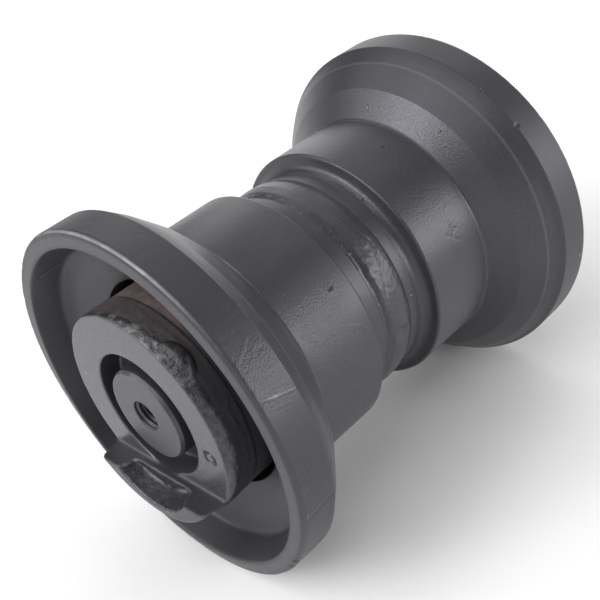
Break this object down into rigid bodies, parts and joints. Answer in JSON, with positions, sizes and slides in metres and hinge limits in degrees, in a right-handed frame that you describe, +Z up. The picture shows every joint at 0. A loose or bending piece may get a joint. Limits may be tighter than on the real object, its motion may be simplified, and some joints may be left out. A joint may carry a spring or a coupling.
{
  "type": "track roller",
  "caption": "Double-flanged crawler track roller: a welded two-piece steel shell turning on a fixed shaft between pinned end collars with frame-seating ledges.",
  "frame": {"origin": "middle of the roller, on its axis", "axes": "+Y along the roller's axis from the near end to the far end; +Z up, away from the two ledges; +X completes the right-handed frame"},
  "size_m": [0.165, 0.217, 0.165],
  "materials": {
    "painted_forging": "satin dark grey paint over a turned and forged steel surface",
    "painted_weld": "the same paint over a wavy weld bead",
    "painted_shaft": "painted end faces, ground steel inside the roller",
    "bush_bronze": "machined bronze",
    "seal_iron": "lapped sealing face",
    "seal_rubber": "moulded black nitrile",
    "bright_steel": "ground steel"
  },
  "bodies": {
    "shaft_assembly": {"shaft": "painted_shaft", "collar_near": "painted_forging", "collar_far": "painted_forging", "collar_lock_pins": "bright_steel", "collar_o_ring_near": "seal_rubber", "collar_o_ring_far": "seal_rubber", "seal_ring_fixed_near": "seal_iron", "seal_ring_fixed_far": "seal_iron", "seal_rubber_fixed_near": "seal_rubber", "seal_rubber_fixed_far": "seal_rubber", "oil_plug": "bright_steel", "oil_plug_seal": "seal_rubber"},
    "roller": {"shell_half_near": "painted_forging", "shell_half_far": "painted_forging", "weld_bead": "painted_weld", "bush_near": "bush_bronze", "bush_far": "bush_bronze", "seal_ring_rotating_near": "seal_iron", "seal_ring_rotating_far": "seal_iron", "seal_rubber_rotating_near": "seal_rubber", "seal_rubber_rotating_far": "seal_rubber"}
  },
  "joints": [
    {"name": "roller_spin", "type": "hinge", "parent": "shaft_assembly", "child": "roller", "pos_m": [0, 0, 0], "axis": [0, 1, 0], "continuous": true}
  ]
}
